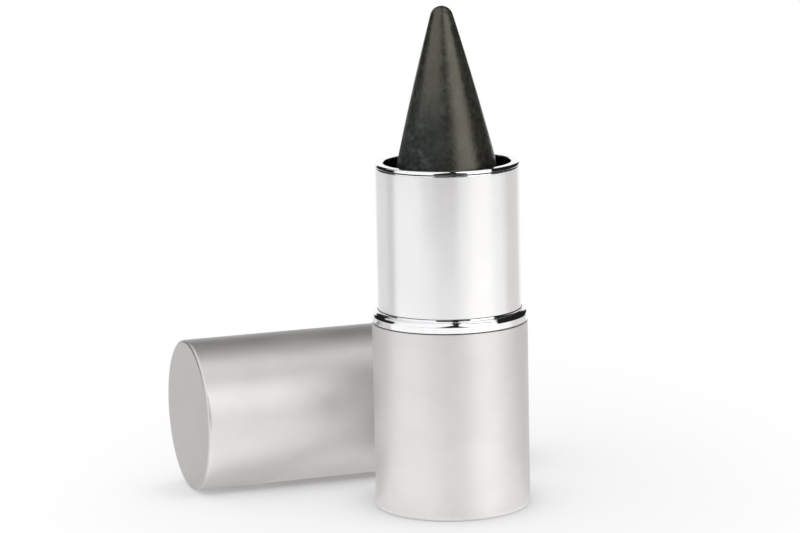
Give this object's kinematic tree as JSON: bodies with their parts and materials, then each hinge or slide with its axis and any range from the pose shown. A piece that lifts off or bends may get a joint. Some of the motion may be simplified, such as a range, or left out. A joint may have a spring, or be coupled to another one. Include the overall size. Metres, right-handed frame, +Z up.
{
  "type": "kohl container",
  "caption": "Round twist-up kohl container with a pointed stick raised from a metal sleeve, a weighted base and a lift-off cap lying beside it.",
  "frame": {"origin": "centre of the base's underside, on the container's own axis, at floor level", "axes": "+Z up along the standing container; the cap lies behind it with its axis along +X, closed end towards -X and mouth towards +X"},
  "size_m": [0.04, 0.039, 0.0613],
  "materials": {
    "satin_aluminium": "fine satin anodised, silver",
    "pearl_aluminium": "brighter satin anodised, pearl silver",
    "bright_chrome": "mirror bright",
    "steel": "plain steel slug, turned",
    "black_plastic": "moulded, slightly glossy black",
    "silicone": "translucent grey silicone",
    "kohl": "waxy charcoal with a soft sheen",
    "natural_plastic": "moulded, natural white"
  },
  "bodies": {
    "base": {"base_shell": "satin_aluminium", "base_weight": "steel", "base_insert": "black_plastic", "guide_tube": "black_plastic", "drag_ring": "silicone"},
    "sleeve": {"sleeve_shell": "pearl_aluminium", "collar_ring": "bright_chrome", "rim_ring": "bright_chrome", "cam_tube": "black_plastic"},
    "carrier": {"carrier_cup": "black_plastic", "kohl_stick": "kohl"},
    "cap": {"cap_shell": "satin_aluminium", "cap_liner": "natural_plastic"}
  },
  "joints": [
    {"name": "swivel", "type": "hinge", "parent": "base", "child": "sleeve", "pos_m": [0, 0, 0.02295], "axis": [0, 0, 1], "range_deg": [0, 540]},
    {"name": "lift", "type": "slide", "parent": "base", "child": "carrier", "axis": [0, 0, 1], "range_m": [-0.02099, 0]},
    {"name": "cap_lift", "type": "slide", "parent": "base", "child": "cap", "axis": [0, 0, 1], "range_m": [0, 0.065]}
  ],
  "couplings": [
    {"joint": "lift", "follows": "swivel", "m_per_rad": -0.0022271}
  ]
}
